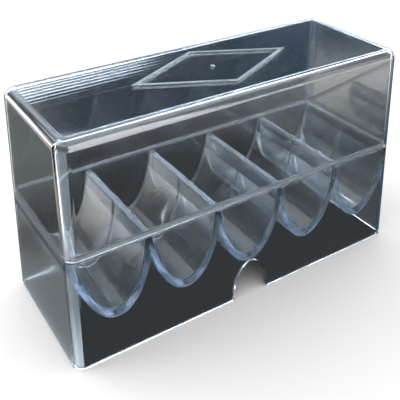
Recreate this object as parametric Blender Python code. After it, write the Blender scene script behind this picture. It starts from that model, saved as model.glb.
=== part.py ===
"""Clear poker chip case: a moulded rack with five round-bottomed rows and a lift-off lid.

Metres, +Z up. X runs along the case across the rows, -Y is the front, and z = 0 is the table.
"""

from math import asin, cos, pi, radians, sin, tan

import bmesh
import bpy

MM = 0.001

# The rows that hold the chips
ROW_COUNT = 5
ROW_WIDTH = 39.6 * MM       # opening of a row at ridge level
ROW_LENGTH = 73.5 * MM      # front to back, one stack of twenty chips on edge
ROW_DEPTH = 38.8 * MM
ROW_RISE = 8.0 * MM         # centre of a row's oval section, above the ridges
ROW_SIDE_WALL = 3.0 * MM
ROW_FLOOR_WALL = 4.8 * MM
RIDGE_WIDTH = 3.4 * MM      # flat between two rows
RIB_HEIGHT = 0.8 * MM       # half-way rib across each row
RIB_WIDTH = 1.6 * MM
RIB_SLOPE = 0.5 * MM

# The two mouldings
RACK_HEIGHT = 69.0 * MM     # table to rim
LID_HEIGHT = 63.0 * MM      # rim to top
LID_WALL = 2.4 * MM
SKIRT_WALL = 2.4 * MM
DECK_WALL = 2.8 * MM        # plate that joins the rows at rim level
END_DRAFT = radians(4.0)    # lean of the two end walls
LONG_DRAFT = radians(3.0)   # lean of the front and back walls
CORNER_RADIUS = 6.5 * MM    # upright corners, in plan
EDGE_RADIUS = 0.5 * MM

# The rim: a seat for the lid's edge and a low lip inside it
FIT_GAP = 0.3 * MM
LIP_HEIGHT = 2.5 * MM
LIP_WALL = 1.1 * MM
LIP_LEDGE = 0.4 * MM        # flat between the lip and the end of a row

# Finger notch in the bottom edge of the front and back walls
NOTCH_FOOT_WIDTH = 29.0 * MM
NOTCH_WIDTH = 24.0 * MM
NOTCH_HEIGHT = 25.0 * MM
NOTCH_FOOT_RADIUS = 3.0 * MM

# Plain rhombus and moulding gate on the lid's top
RHOMBUS_LENGTH = 100.0 * MM
RHOMBUS_WIDTH = 49.0 * MM
RHOMBUS_LINE = 1.8 * MM
RHOMBUS_RELIEF = 0.5 * MM
GATE_RADIUS = 1.3 * MM
GATE_RELIEF = 0.5 * MM
SINK = 0.6 * MM             # how far raised work is rooted in the plate

CORNER_STEPS = 12
FILLET_STEPS = 8
ARC_STEPS = 44

TOP_RADIUS = 0.85 * CORNER_RADIUS   # edge of the lid's top
PITCH = ROW_WIDTH + RIDGE_WIDTH
RIM_WIDTH = LID_WALL + FIT_GAP + LIP_WALL + LIP_LEDGE
RIM_LENGTH = ROW_COUNT * PITCH - RIDGE_WIDTH + 2 * RIM_WIDTH
RIM_DEPTH = ROW_LENGTH + 2 * RIM_WIDTH
SEAT = RACK_HEIGHT + FIT_GAP

for old in list(bpy.data.objects):
    bpy.data.objects.remove(old, do_unlink=True)

PARTS = bpy.data.collections.new("poker_chip_case")
CUTTERS = bpy.data.collections.new("cutters")
bpy.context.scene.collection.children.link(PARTS)
bpy.context.scene.collection.children.link(CUTTERS)


def clear_plastic(name):
    """A clear, glossy plastic with a faint cool cast."""
    material = bpy.data.materials.new(name)
    material.use_nodes = True
    shader = material.node_tree.nodes["Principled BSDF"]
    shader.inputs["Base Color"].default_value = (0.86, 0.92, 0.96, 1.0)
    shader.inputs["Roughness"].default_value = 0.04
    shader.inputs["Metallic"].default_value = 0.0
    shader.inputs["IOR"].default_value = 1.57
    shader.inputs["Transmission Weight"].default_value = 1.0
    return material


def outline(half_x, half_y, radius, z):
    """A rounded rectangle at height z, the same number of points for any size."""
    points = []
    for corner, (sx, sy) in enumerate(((1, 1), (-1, 1), (-1, -1), (1, -1))):
        for step in range(CORNER_STEPS + 1):
            turn = (corner + step / CORNER_STEPS) * pi / 2
            points.append(
                (
                    sx * (half_x - radius) + radius * cos(turn),
                    sy * (half_y - radius) + radius * sin(turn),
                    z,
                )
            )
    return points


def loft(name, rings, collection):
    """A closed solid through rings of equal point count, capped at both ends."""
    mesh = bpy.data.meshes.new(name)
    bm = bmesh.new()
    rows = [[bm.verts.new(point) for point in ring] for ring in rings]
    count = len(rings[0])
    for lower, upper in zip(rows, rows[1:]):
        for i in range(count):
            j = (i + 1) % count
            bm.faces.new((lower[i], lower[j], upper[j], upper[i]))
    bm.faces.new(rows[0][::-1])
    bm.faces.new(rows[-1])
    bmesh.ops.recalc_face_normals(bm, faces=bm.faces)
    bm.to_mesh(mesh)
    bm.free()
    piece = bpy.data.objects.new(name, mesh)
    collection.objects.link(piece)
    if collection is CUTTERS:
        piece.hide_render = True
        piece.display_type = "WIRE"
    return piece


def combine(piece, other, operation):
    """One exact boolean on a piece, left live as a modifier."""
    modifier = piece.modifiers.new(other.name, "BOOLEAN")
    modifier.operation = operation
    modifier.solver = "EXACT"
    modifier.object = other


def quarter(radius, steps=FILLET_STEPS):
    """Inset and rise of the points along a quarter round."""
    for step in range(1, steps + 1):
        turn = step / steps * pi / 2
        yield radius * (1 - cos(turn)), radius * sin(turn)


def drafted(z, inset):
    """Outline of either moulding's leaning walls, offset inward; both lean the same way."""
    lean = z - RACK_HEIGHT
    return outline(
        RIM_LENGTH / 2 - lean * tan(END_DRAFT) - inset,
        RIM_DEPTH / 2 - lean * tan(LONG_DRAFT) - inset,
        CORNER_RADIUS - inset,
        z,
    )


def build_lid(material):
    """Thin-walled cover, open below, with one rounded edge all round its top."""
    spring = LID_HEIGHT - TOP_RADIUS
    inside = [(spring, LID_WALL)]
    for inset, rise in quarter(TOP_RADIUS - LID_WALL):
        inside.append((spring + rise, LID_WALL + inset))
    outside = [(spring, 0.0)]
    for inset, rise in quarter(TOP_RADIUS):
        outside.append((spring + rise, inset))
    edge = EDGE_RADIUS
    foot = [
        (edge, LID_WALL),
        (edge * 0.3, LID_WALL - edge * 0.3),
        (0.0, LID_WALL - edge),
        (0.0, edge),
        (edge * 0.3, edge * 0.3),
        (edge, 0.0),
    ]
    rings = []
    for height, inset in inside[::-1] + foot + outside:
        ring = drafted(RACK_HEIGHT + height, inset)
        rings.append([(x, y, z - RACK_HEIGHT) for x, y, z in ring])
    lid = loft("lid", rings, PARTS)
    lid.location.z = SEAT
    combine(lid, build_rhombus(SEAT + LID_HEIGHT), "UNION")
    combine(lid, build_gate(SEAT + LID_HEIGHT), "UNION")
    lid.data.materials.append(material)
    return lid


def build_rhombus(top):
    """Raised rhombus line: one band, so both its edges show."""
    def ring(scale, z):
        along = RHOMBUS_LENGTH / 2 * scale
        across = RHOMBUS_WIDTH / 2 * scale
        return [(along, 0, z), (0, across, z), (-along, 0, z), (0, -across, z)]

    reach = RHOMBUS_LENGTH / 2 * RHOMBUS_WIDTH / 2
    edge_length = ((RHOMBUS_LENGTH / 2) ** 2 + (RHOMBUS_WIDTH / 2) ** 2) ** 0.5
    inner = 1 - RHOMBUS_LINE * edge_length / reach
    band = loft("rhombus_band", [ring(1, top - SINK), ring(1, top + RHOMBUS_RELIEF)], CUTTERS)
    core = loft("rhombus_core", [ring(inner, top - 2 * SINK), ring(inner, top + 2 * SINK)], CUTTERS)
    combine(band, core, "DIFFERENCE")
    return band


def build_gate(top):
    """Small round mark where the plastic entered the mould."""
    def ring(radius, z):
        turns = [step / 20 * 2 * pi for step in range(20)]
        return [(radius * cos(turn), radius * sin(turn), z) for turn in turns]

    rings = [
        ring(GATE_RADIUS, top - SINK),
        ring(GATE_RADIUS, top + GATE_RELIEF * 0.6),
        ring(GATE_RADIUS * 0.7, top + GATE_RELIEF),
    ]
    return loft("gate", rings, CUTTERS)


def row_section(half_width, depth, lift):
    """Lower part of an oval that opens at the rim, and up past it, as (x, z) from left to right."""
    tall = depth + ROW_RISE
    start = asin(ROW_RISE / tall)
    wide = half_width / cos(start)
    section = [(-half_width, RACK_HEIGHT + lift)]
    for step in range(ARC_STEPS + 1):
        turn = pi + start + (pi - 2 * start) * step / ARC_STEPS
        section.append((wide * cos(turn), RACK_HEIGHT + ROW_RISE + tall * sin(turn)))
    section.append((half_width, RACK_HEIGHT + lift))
    return section


def row_space(index, centre_x):
    """The space of one row: two halves with a low rib between them, ends leaning with the walls."""
    full = row_section(ROW_WIDTH / 2, ROW_DEPTH, 4 * LIP_HEIGHT)
    ribbed = row_section(ROW_WIDTH / 2 - RIB_HEIGHT, ROW_DEPTH - RIB_HEIGHT, 4 * LIP_HEIGHT)
    ribbed[:2] = full[:2]
    ribbed[-2:] = full[-2:]

    def end(side):
        ring = []
        for x, z in full:
            lean = min(z - RACK_HEIGHT, 0.0) * tan(LONG_DRAFT)
            ring.append((centre_x + x, side * (ROW_LENGTH / 2 - lean), z))
        return ring

    def across(section, y):
        return [(centre_x + x, y, z) for x, z in section]

    flank = RIB_WIDTH / 2
    crest = flank - RIB_SLOPE
    rings = [
        end(-1),
        across(full, -flank),
        across(ribbed, -crest),
        across(ribbed, crest),
        across(full, flank),
        end(1),
    ]
    return loft(f"row_{index}", rings, CUTTERS)


def row_shell(index, centre_x):
    """Outside of one row's wall, long enough to pass through the front and back walls."""
    section = row_section(ROW_WIDTH / 2 + ROW_SIDE_WALL, ROW_DEPTH + ROW_FLOOR_WALL, LIP_HEIGHT)
    reach = RIM_DEPTH
    rings = [[(centre_x + x, y, z) for x, z in section] for y in (-reach, reach)]
    return loft(f"row_shell_{index}", rings, CUTTERS)


def build_notch():
    """Bell-shaped finger notch, through the front and back walls at once."""
    half = NOTCH_WIDTH / 2
    foot = NOTCH_FOOT_RADIUS
    arch = NOTCH_HEIGHT - foot
    spread = NOTCH_FOOT_WIDTH / 2 - half
    side = []
    for step in range(9):
        turn = step / 8 * pi / 2
        side.append((half + spread * (1 - sin(turn)), foot * (1 - cos(turn))))
    for step in range(1, 17):
        turn = step / 16 * pi / 2
        side.append((half * cos(turn), foot + arch * sin(turn)))
    below = (NOTCH_FOOT_WIDTH / 2, -foot)
    right = [below] + side
    section = right + [(-x, z) for x, z in right[-2::-1]]
    reach = RIM_DEPTH
    rings = [[(x, y, z) for x, z in section] for y in (-reach, reach)]
    return loft("finger_notch", rings, CUTTERS)


def build_rack(material):
    """Skirted rack: five rows hung from the rim, open underneath, with a lip inside the lid's seat."""
    edge = EDGE_RADIUS
    rim = RACK_HEIGHT
    lip_out = LID_WALL + FIT_GAP
    lip_in = lip_out + LIP_WALL
    profile = [
        (0.0, edge),
        (edge * 0.3, edge * 0.3),
        (edge, 0.0),
        (rim - edge, 0.0),
        (rim - edge * 0.3, edge * 0.3),
        (rim, edge),
        (rim, lip_out),
        (rim + LIP_HEIGHT - edge / 2, lip_out),
        (rim + LIP_HEIGHT, lip_out + edge / 2),
        (rim + LIP_HEIGHT, lip_in - edge / 2),
        (rim + LIP_HEIGHT - edge / 2, lip_in),
        (rim, lip_in),
    ]
    rack = loft("chip_rack", [drafted(z, inset) for z, inset in profile], PARTS)

    hollow_top = rim - DECK_WALL
    hollow = loft(
        "underside",
        [drafted(-edge * 4, SKIRT_WALL), drafted(hollow_top, SKIRT_WALL)],
        CUTTERS,
    )
    centres = [(i - (ROW_COUNT - 1) / 2) * PITCH for i in range(ROW_COUNT)]
    for i, centre_x in enumerate(centres, start=1):
        combine(hollow, row_shell(i, centre_x), "DIFFERENCE")
    combine(rack, hollow, "DIFFERENCE")
    for i, centre_x in enumerate(centres, start=1):
        combine(rack, row_space(i, centre_x), "DIFFERENCE")
    combine(rack, build_notch(), "DIFFERENCE")
    rack.data.materials.append(material)
    return rack


build_rack(clear_plastic("rack_plastic"))
build_lid(clear_plastic("lid_plastic"))
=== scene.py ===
"""The clear poker chip case on a pale floor, seen from its front left."""

import math

import bmesh
import bpy
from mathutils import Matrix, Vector

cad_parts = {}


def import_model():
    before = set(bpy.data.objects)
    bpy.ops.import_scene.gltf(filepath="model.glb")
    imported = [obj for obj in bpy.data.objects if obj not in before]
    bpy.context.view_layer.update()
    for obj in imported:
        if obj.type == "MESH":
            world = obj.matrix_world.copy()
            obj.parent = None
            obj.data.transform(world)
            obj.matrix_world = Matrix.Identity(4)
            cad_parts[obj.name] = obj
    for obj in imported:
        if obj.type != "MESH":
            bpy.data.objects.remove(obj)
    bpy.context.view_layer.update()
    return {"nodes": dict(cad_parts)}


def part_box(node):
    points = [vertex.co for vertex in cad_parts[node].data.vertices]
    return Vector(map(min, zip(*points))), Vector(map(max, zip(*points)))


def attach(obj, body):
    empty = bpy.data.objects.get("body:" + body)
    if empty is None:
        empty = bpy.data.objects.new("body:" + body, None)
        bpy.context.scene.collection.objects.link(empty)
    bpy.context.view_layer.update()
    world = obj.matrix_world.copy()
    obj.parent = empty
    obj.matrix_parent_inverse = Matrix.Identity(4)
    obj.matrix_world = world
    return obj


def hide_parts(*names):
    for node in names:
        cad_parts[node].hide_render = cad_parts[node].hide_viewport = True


MM = 0.001

# Camera: the photograph's place, direction in degrees, and lens
CAMERA_PLACE = (-178.3 * MM, -263.3 * MM, 260.4 * MM)
CAMERA_AZIMUTH = -32.87
CAMERA_ELEVATION = 34.24
FOCAL_PIXELS = 615.0
PHOTO_SIDE = 400.0
SENSOR_WIDTH = 36.0
NEAR_CLIP = 10.0 * MM

# Mesh of the mouldings: welded points, merged flats and rounded edges
WELD = 0.001 * MM
FLAT_ANGLE = math.radians(0.2)
FLAT_WEIGHT = 90
EDGE_ROUND = 0.35 * MM
EDGE_ANGLE = math.radians(28)
EDGE_SEGMENTS = 2

# The plastic: how it bends light, and the blue it shows in depth
REFRACTION = 1.55
PLASTIC_TINT = (0.985, 0.993, 1.0, 1.0)
DEPTH_TINT = (0.18, 0.26, 0.35, 1.0)
DEPTH_DENSITY = 31.0

# Noise in the gloss, and the part of the noise that shows
HAZE_NOISE = {"Scale": 38.0, "Detail": 5.0, "Roughness": 0.6}
HAZE_RANGE = (0.35, 0.75)
DUST_NOISE = {"Scale": 900.0, "Detail": 2.0}
SPECK_RANGE = (0.66, 0.74)

# Roughness, from clean to handled where there are two values
WALL_ROUGHNESS = (0.015, 0.045)
ROW_ROUGHNESS = (0.09, 0.15)
RIM_ROUGHNESS = 0.22
RIDGE_ROUGHNESS = 0.24
EDGE_ROUGHNESS = 0.2
LINE_ROUGHNESS = 0.50
RHOMBUS_ROUGHNESS = 0.35
SPECK_ROUGHNESS = 0.22

# Where the rack's finishes change
ROW_REACH = 36.75 * MM      # half the rows' length at the rim, where the front and back walls begin
ROW_FADE = (0.1 * MM, 1.0 * MM)     # distances from a row's end over which it turns satin
WALL_INSIDE = 38.55 * MM    # inner face of those walls beside the rows, at the rim
WALL_LEAN = math.tan(math.radians(3.0))
ROWS_ACROSS = 106.0 * MM    # half the width of the five rows
LINE_WIDTH = 0.8 * MM       # satin line where a row's wall meets the front or back wall
LINE_INSET = 0.02 * MM      # keeps that line off the wall's face
RIM_BELOW_LIP = 2.5 * MM    # the rim, under the top of the lip that the lid goes over
RIM_BAND = 1.5 * MM
RIDGE_BAND = 7.0 * MM       # height of the ridges' upper flanks that are rubbed

# Where the lid's finishes change
LID_EDGE = 0.8 * MM
RELIEF = 0.5 * MM           # how far the rhombus line stands above the lid's top
RELIEF_SHARES = (0.7, 0.2)  # parts of the relief, from its crest, over which it turns satin

# Sink lines at the back left of the lid's top, as shares of its half width and half length
SINK_SCALE = 88.0           # how close together the lines lie
SINK_DEPTH = 0.115 * MM
SINK_WAVER = 0.9            # how far they bend
SINK_WAVER_SCALE = 0.3
SINK_FRONT = -5.0 * MM      # where they begin, in Y
SINK_BACK = 0.65            # where they are full
SINK_RIGHT = 0.5
SINK_LEFT = 0.6
SINK_BELOW_TOP = (3.0 * MM, 1.0 * MM)   # depths between which they end

# Floor and soft light, in metres and watts
FLOOR_REACH = 4.0
FLOOR_COLOUR = (0.9, 0.9, 0.9, 1.0)
KEY_PLACE = (-0.55, 0.45, 0.65)
KEY_TARGET = (0.0, 0.0, 0.05)
KEY_SIZE = (0.7, 0.5)
KEY_POWER = 2.5

# Light paths: the plastic has many surfaces one behind the other
MAX_BOUNCES = 32
GLOSSY_BOUNCES = 24
TRANSMISSION_BOUNCES = 32

# What the plastic shows of the studio. A card has a range of azimuth (from +Y towards +X), a range
# of elevation and the softness of its edges, in degrees, and its light. Later cards cover earlier ones.
PALE_LIGHT = 1.2
WHITE = (1.0, 1.0, 1.0, 1.0)
DARK_TABLE = (0.036, 0.039, 0.041)
SEEN_THROUGH = (12, 30)     # elevations where what is seen straight through goes from table to studio
MIRRORED_ONCE = 0.5         # a ray's count of mirrorings is over this after the first
STUDIO_CARDS = (
    # The room, its dim back left, its ceiling, and the dark blue backdrop that the lid's top mirrors
    ((-200, 200), (-19, 100), 6, (0.62, 0.66, 0.70)),
    ((-70, 16), (-26, 24), 8, (0.22, 0.24, 0.235)),
    ((-200, 200), (50, 72), 8, (2.5, 2.8, 3.1)),
    ((21, 95), (-34, 30), 6, (0.05, 0.10, 0.16)),
    # Light on the ridges, the rim and the sink lines, and a sheen at the left of the top
    ((5, 95), (30, 35), 3, (8.6, 9.8, 11.4)),
    ((-8, 9), (6, 45), 9, (1.6, 1.9, 2.2)),
    # Grey sheen on the rows' flanks, with a dark gap for the lid's right end
    ((-78, -28), (-28, 2), 6, (2.4, 2.35, 2.2)),
    ((-60, -43), (-24, 4), 4, (0.06, 0.10, 0.15)),
    # Line along the top's back edge
    ((-30, 95), (-5, 4), 3, (4.4, 4.7, 5.0)),
    # Front left corners of the lid and the rack, and the rack's left end
    ((-160, -80), (-48, -8), 8, (1.7, 2.0, 2.3)),
    ((-160, -80), (-62, -39), 5, (4.2, 5.0, 5.8)),
    ((-50, -5), (-62, -38), 6, (0.30, 0.34, 0.35)),
    # Grey on the front face, and the white along its top edge, which widens to the left
    ((105, 165), (-13, 2), 8, (2.6, 2.6, 2.4)),
    ((115, 168), (-6, 1), 3, (9.0, 9.2, 9.4)),
    ((150, 168), (-13, 4), 6, (8.0, 8.2, 8.4)),
    ((112, 165), (4, 40), 12, (0.9, 0.95, 1.0)),
    ((152, 168), (4, 40), 6, (6.5, 6.6, 6.7)),
)

# Sockets of a mix node for each kind of value: its first and second input, and its output
MIX_SOCKETS = {"FLOAT": (2, 3, 0), "RGBA": (6, 7, 2)}

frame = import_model()
scene = bpy.context.scene


class Shading:
    """Short ways to build the shader tree of a material or a world."""

    def __init__(self, owner):
        owner.use_nodes = True
        self.tree = owner.node_tree
        self.tree.nodes.clear()

    def add(self, kind, **values):
        """A node, with its inputs and settings given by name."""
        node = self.tree.nodes.new(kind)
        for key, value in values.items():
            if key in node.inputs:
                node.inputs[key].default_value = value
            else:
                setattr(node, key, value)
        return node

    def link(self, source, target):
        self.tree.links.new(source, target)

    def feed(self, value, target):
        """Sets a number or colour on an input, or links a socket to it."""
        if isinstance(value, (int, float, tuple)):
            target.default_value = value
        else:
            self.link(value, target)

    def math(self, operation, *values):
        """One sum on sockets or numbers."""
        node = self.add("ShaderNodeMath", operation=operation)
        for socket, value in zip(node.inputs, values):
            self.feed(value, socket)
        return node.outputs["Value"]

    def fade(self, value, start, end, low=0.0, high=1.0, curve="SMOOTHSTEP"):
        """Runs from low at start to high at end."""
        node = self.add("ShaderNodeMapRange", interpolation_type=curve)
        settings = (("From Min", start), ("From Max", end), ("To Min", low), ("To Max", high))
        for name, number in settings:
            node.inputs[name].default_value = number
        self.link(value, node.inputs["Value"])
        return node.outputs["Result"]

    def product(self, first, *others):
        for other in others:
            first = self.math("MULTIPLY", first, other)
        return first

    def greatest(self, first, *others):
        for other in others:
            first = self.math("MAXIMUM", first, other)
        return first

    def blend(self, kind, share, first, second):
        """Goes from first to second, which are numbers or colours, as share goes from 0 to 1."""
        start, end, result = MIX_SOCKETS[kind]
        node = self.add("ShaderNodeMix", data_type=kind)
        self.link(share, node.inputs[0])
        self.feed(first, node.inputs[start])
        self.feed(second, node.inputs[end])
        return node.outputs[result]


def moulded(node_name, body, material):
    """A node's own shape as one welded moulding, with its edges rounded and smooth curves."""
    source = frame["nodes"][node_name]
    mesh = bpy.data.meshes.new(f"{node_name}_moulding")
    bm = bmesh.new()
    bm.from_mesh(source.data)
    bmesh.ops.remove_doubles(bm, verts=bm.verts, dist=WELD)
    bmesh.ops.dissolve_limit(bm, angle_limit=FLAT_ANGLE, verts=bm.verts, edges=bm.edges)
    for face in bm.faces:
        face.smooth = True
    bm.to_mesh(mesh)
    bm.free()
    mesh.materials.clear()
    mesh.materials.append(material)
    mesh.set_sharp_from_angle(angle=EDGE_ANGLE)
    piece = bpy.data.objects.new(f"{node_name}_moulding", mesh)
    scene.collection.objects.link(piece)
    rounding = piece.modifiers.new("rounded edges", "BEVEL")
    rounding.width = EDGE_ROUND
    rounding.segments = EDGE_SEGMENTS
    rounding.limit_method = "ANGLE"
    rounding.angle_limit = EDGE_ANGLE
    rounding.use_clamp_overlap = True
    flats = piece.modifiers.new("true flats", "WEIGHTED_NORMAL")
    flats.keep_sharp = True
    flats.weight = FLAT_WEIGHT
    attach(piece, body)
    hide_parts(node_name)


def clear_plastic(name, finish, relief=None):
    """Clear moulded plastic, a little blue in depth, with haze and specks in its gloss."""
    material = bpy.data.materials.new(name)
    shading = Shading(material)
    add, link = shading.add, shading.link
    out = add("ShaderNodeOutputMaterial")
    shader = add("ShaderNodeBsdfPrincipled")
    shader.inputs["Base Color"].default_value = PLASTIC_TINT
    shader.inputs["IOR"].default_value = REFRACTION
    shader.inputs["Transmission Weight"].default_value = 1.0
    depth = add("ShaderNodeVolumeAbsorption", Color=DEPTH_TINT, Density=DEPTH_DENSITY)
    place = add("ShaderNodeTexCoord").outputs["Object"]
    haze = add("ShaderNodeTexNoise", **HAZE_NOISE)
    dust = add("ShaderNodeTexNoise", **DUST_NOISE)
    axes = add("ShaderNodeSeparateXYZ")
    for node in (haze, dust, axes):
        link(place, node.inputs["Vector"])
    if relief:
        link(relief(shading, place, axes.outputs), shader.inputs["Normal"])
    roughness = finish(shading, axes.outputs, haze.outputs["Fac"])
    specks = shading.fade(dust.outputs["Fac"], *SPECK_RANGE, high=SPECK_ROUGHNESS)
    link(shading.greatest(roughness, specks), shader.inputs["Roughness"])
    link(depth.outputs["Volume"], out.inputs["Volume"])
    link(shader.outputs["BSDF"], out.inputs["Surface"])
    return material


def handled(shading, haze, roughness):
    """Roughness that drifts between its clean and its handled value."""
    return shading.fade(haze, *HAZE_RANGE, *roughness, curve="LINEAR")


def rack_finish(shading, axes, haze):
    """Glossy walls, rows that chips have rubbed satin, and a satin rim and ridges."""
    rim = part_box("chip_rack")[1][2] - RIM_BELOW_LIP
    below = shading.math("SUBTRACT", rim, axes["Z"])
    lean = shading.product(below, WALL_LEAN)
    reach = shading.math("SUBTRACT", shading.math("ABSOLUTE", axes["Y"]), lean)
    inside = shading.fade(reach, ROW_REACH - ROW_FADE[0], ROW_REACH - ROW_FADE[1])
    walls = handled(shading, haze, WALL_ROUGHNESS)
    rows = handled(shading, haze, ROW_ROUGHNESS)
    surface = shading.blend("FLOAT", inside, walls, rows)
    ridges = shading.fade(axes["Z"], rim - RIM_BAND, rim, high=RIM_ROUGHNESS)
    flanks = shading.fade(axes["Z"], rim - RIDGE_BAND, rim, high=RIDGE_ROUGHNESS)
    rougher = shading.greatest(surface, ridges, shading.product(flanks, inside))
    across = shading.math("ABSOLUTE", axes["X"])
    among_rows = shading.math("LESS_THAN", across, ROWS_ACROSS)
    for wall in (ROW_REACH, WALL_INSIDE):
        line = shading.product(
            shading.math("GREATER_THAN", reach, wall - LINE_WIDTH),
            shading.math("LESS_THAN", reach, wall - LINE_INSET),
            among_rows,
            LINE_ROUGHNESS,
        )
        rougher = shading.greatest(rougher, line)
    return rougher


def lid_finish(shading, axes, haze):
    """Glossy walls, a satin lower edge and a satin rhombus."""
    low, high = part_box("lid")
    edge = shading.fade(axes["Z"], low[2] + LID_EDGE, low[2], high=EDGE_ROUGHNESS)
    start, end = (high[2] - share * RELIEF for share in RELIEF_SHARES)
    raised = shading.fade(axes["Z"], start, end, high=RHOMBUS_ROUGHNESS)
    return shading.greatest(handled(shading, haze, WALL_ROUGHNESS), edge, raised)


def sink_lines(shading, place, axes):
    """Fine lines along the back left of the lid's top, as a surface normal."""
    low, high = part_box("lid")
    wave = shading.add(
        "ShaderNodeTexWave", bands_direction="Y", Scale=SINK_SCALE, Distortion=SINK_WAVER, Detail=0.0
    )
    wave.inputs["Detail Scale"].default_value = SINK_WAVER_SCALE
    shading.link(place, wave.inputs["Vector"])
    back = shading.fade(axes["Y"], SINK_FRONT, high[1] * SINK_BACK)
    left = shading.fade(axes["X"], high[0] * SINK_RIGHT, low[0] * SINK_LEFT)
    top = shading.fade(axes["Z"], high[2] - SINK_BELOW_TOP[0], high[2] - SINK_BELOW_TOP[1])
    bump = shading.add("ShaderNodeBump", Strength=1.0, Distance=SINK_DEPTH)
    shading.link(shading.product(wave.outputs["Fac"], back, left, top), bump.inputs["Height"])
    return bump.outputs["Normal"]


def floor():
    """A wide pale floor that is not seen through the plastic."""
    mesh = bpy.data.meshes.new("floor")
    bm = bmesh.new()
    bmesh.ops.create_grid(bm, x_segments=1, y_segments=1, size=FLOOR_REACH)
    bm.to_mesh(mesh)
    bm.free()
    piece = bpy.data.objects.new("floor", mesh)
    scene.collection.objects.link(piece)
    material = bpy.data.materials.new("pale floor")
    shading = Shading(material)
    out = shading.add("ShaderNodeOutputMaterial")
    shader = shading.add("ShaderNodeBsdfDiffuse", Color=FLOOR_COLOUR)
    shading.link(shader.outputs["BSDF"], out.inputs["Surface"])
    mesh.materials.append(material)
    piece.visible_transmission = False
    piece.visible_glossy = False


def studio_colour(shading, azimuth, elevation, table):
    """The colour that the studio's cards give to each direction, over the dark table."""
    fade = shading.fade
    colour = table
    for around, up, soft, light in STUDIO_CARDS:
        cover = shading.product(
            fade(azimuth, around[0] - soft, around[0]),
            fade(azimuth, around[1] + soft, around[1]),
            fade(elevation, up[0] - soft, up[0]),
            fade(elevation, up[1] + soft, up[1]),
        )
        colour = shading.blend("RGBA", cover, colour, (*light, 1.0))
    return colour


def world():
    """A studio for what the plastic mirrors and bends, and a pale backdrop for camera and floor."""
    room = bpy.data.worlds.new("studio")
    scene.world = room
    room.cycles.sampling_method = "NONE"
    shading = Shading(room)
    add, link = shading.add, shading.link
    out = add("ShaderNodeOutputWorld")
    axes = add("ShaderNodeSeparateXYZ")
    link(add("ShaderNodeTexCoord").outputs["Generated"], axes.inputs["Vector"])
    turn = shading.math("ARCTAN2", axes.outputs["X"], axes.outputs["Y"])
    rise = shading.math("ARCSINE", axes.outputs["Z"])
    azimuth = shading.math("DEGREES", turn)
    elevation = shading.math("DEGREES", rise)
    table = add("ShaderNodeRGB").outputs["Color"]
    table.default_value = (*DARK_TABLE, 1.0)
    cards = studio_colour(shading, azimuth, elevation, table)
    path = add("ShaderNodeLightPath").outputs
    mirrored = shading.math("GREATER_THAN", path["Glossy Depth"], MIRRORED_ONCE)
    lit = shading.greatest(mirrored, shading.fade(elevation, *SEEN_THROUGH))
    studio = add("ShaderNodeBackground", Strength=1.0)
    link(shading.blend("RGBA", lit, table, cards), studio.inputs["Color"])
    pale = add("ShaderNodeBackground", Color=WHITE, Strength=PALE_LIGHT)
    choose = add("ShaderNodeMixShader")
    link(shading.greatest(path["Is Camera Ray"], path["Is Diffuse Ray"]), choose.inputs["Fac"])
    link(studio.outputs["Background"], choose.inputs[1])
    link(pale.outputs["Background"], choose.inputs[2])
    link(choose.outputs["Shader"], out.inputs["Surface"])


def softbox(name, place, target, size, power):
    """A rectangular soft light facing a point."""
    light = bpy.data.lights.new(name, "AREA")
    light.shape = "RECTANGLE"
    light.size, light.size_y = size
    light.energy = power
    lamp = bpy.data.objects.new(name, light)
    lamp.location = place
    lamp.rotation_mode = "QUATERNION"
    lamp.rotation_quaternion = (Vector(target) - Vector(place)).to_track_quat("-Z", "Y")
    lamp.visible_camera = False
    scene.collection.objects.link(lamp)


def camera():
    """The photograph's view."""
    data = bpy.data.cameras.new("camera")
    data.sensor_width = SENSOR_WIDTH
    data.lens = FOCAL_PIXELS / PHOTO_SIDE * SENSOR_WIDTH
    data.clip_start = NEAR_CLIP
    eye = bpy.data.objects.new("camera", data)
    turn, rise = math.radians(CAMERA_AZIMUTH), math.radians(CAMERA_ELEVATION)
    back = Vector(
        (math.sin(turn) * math.cos(rise), -math.cos(turn) * math.cos(rise), math.sin(rise))
    )
    eye.location = CAMERA_PLACE
    eye.rotation_mode = "QUATERNION"
    eye.rotation_quaternion = (-back).to_track_quat("-Z", "Y")
    scene.collection.objects.link(eye)
    scene.camera = eye


moulded("chip_rack", "rack", clear_plastic("rack clear plastic", rack_finish))
moulded("lid", "lid", clear_plastic("lid clear plastic", lid_finish, sink_lines))
floor()
world()
camera()
softbox("key", KEY_PLACE, KEY_TARGET, KEY_SIZE, KEY_POWER)
scene.view_settings.view_transform = "Standard"
scene.cycles.max_bounces = MAX_BOUNCES
scene.cycles.glossy_bounces = GLOSSY_BOUNCES
scene.cycles.transmission_bounces = TRANSMISSION_BOUNCES
scene.cycles.caustics_refractive = False
scene.cycles.caustics_reflective = False
